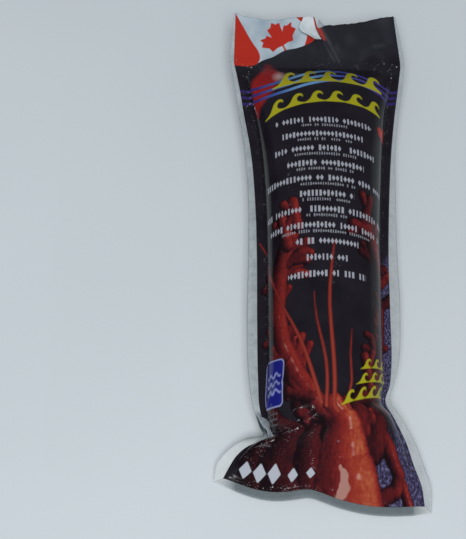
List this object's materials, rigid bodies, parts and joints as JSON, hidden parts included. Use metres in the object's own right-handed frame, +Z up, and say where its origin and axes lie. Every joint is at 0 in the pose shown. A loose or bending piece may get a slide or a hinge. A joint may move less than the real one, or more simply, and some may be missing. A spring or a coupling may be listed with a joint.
{
  "type": "frozen seafood pouch",
  "caption": "Printed film pouch shrunk round a loaf of frozen seafood, with clear weld margins, a fishtail foot and a torn header flap.",
  "frame": {"origin": "middle of the pouch's footprint, on the surface that it lies on", "axes": "+X across the pouch to its right-hand weld as the front is read, +Y along it to the torn header, +Z up out of the printed front"},
  "size_m": [0.1266, 0.3186, 0.0521],
  "materials": {
    "frozen_block": "frosted brine ice round dark red seafood, hidden by the film",
    "front_film": "glossy laminate film printed in black, red, white, yellow and blue",
    "back_film": "glossy laminate film printed in plain black",
    "clear_weld": "clear heat-welded film, slightly milky",
    "header_film": "glossy printed film, torn and creased",
    "bare_film": "unprinted white inner face of the film"
  },
  "bodies": {
    "root": {"frozen_block": "frozen_block", "front_film": "front_film", "back_film": "back_film", "side_weld_left": "clear_weld", "side_weld_right": "clear_weld", "bottom_weld": "clear_weld", "top_weld": "header_film", "header_front": "header_film", "header_back": "back_film", "folded_corner": "bare_film"}
  },
  "joints": []
}
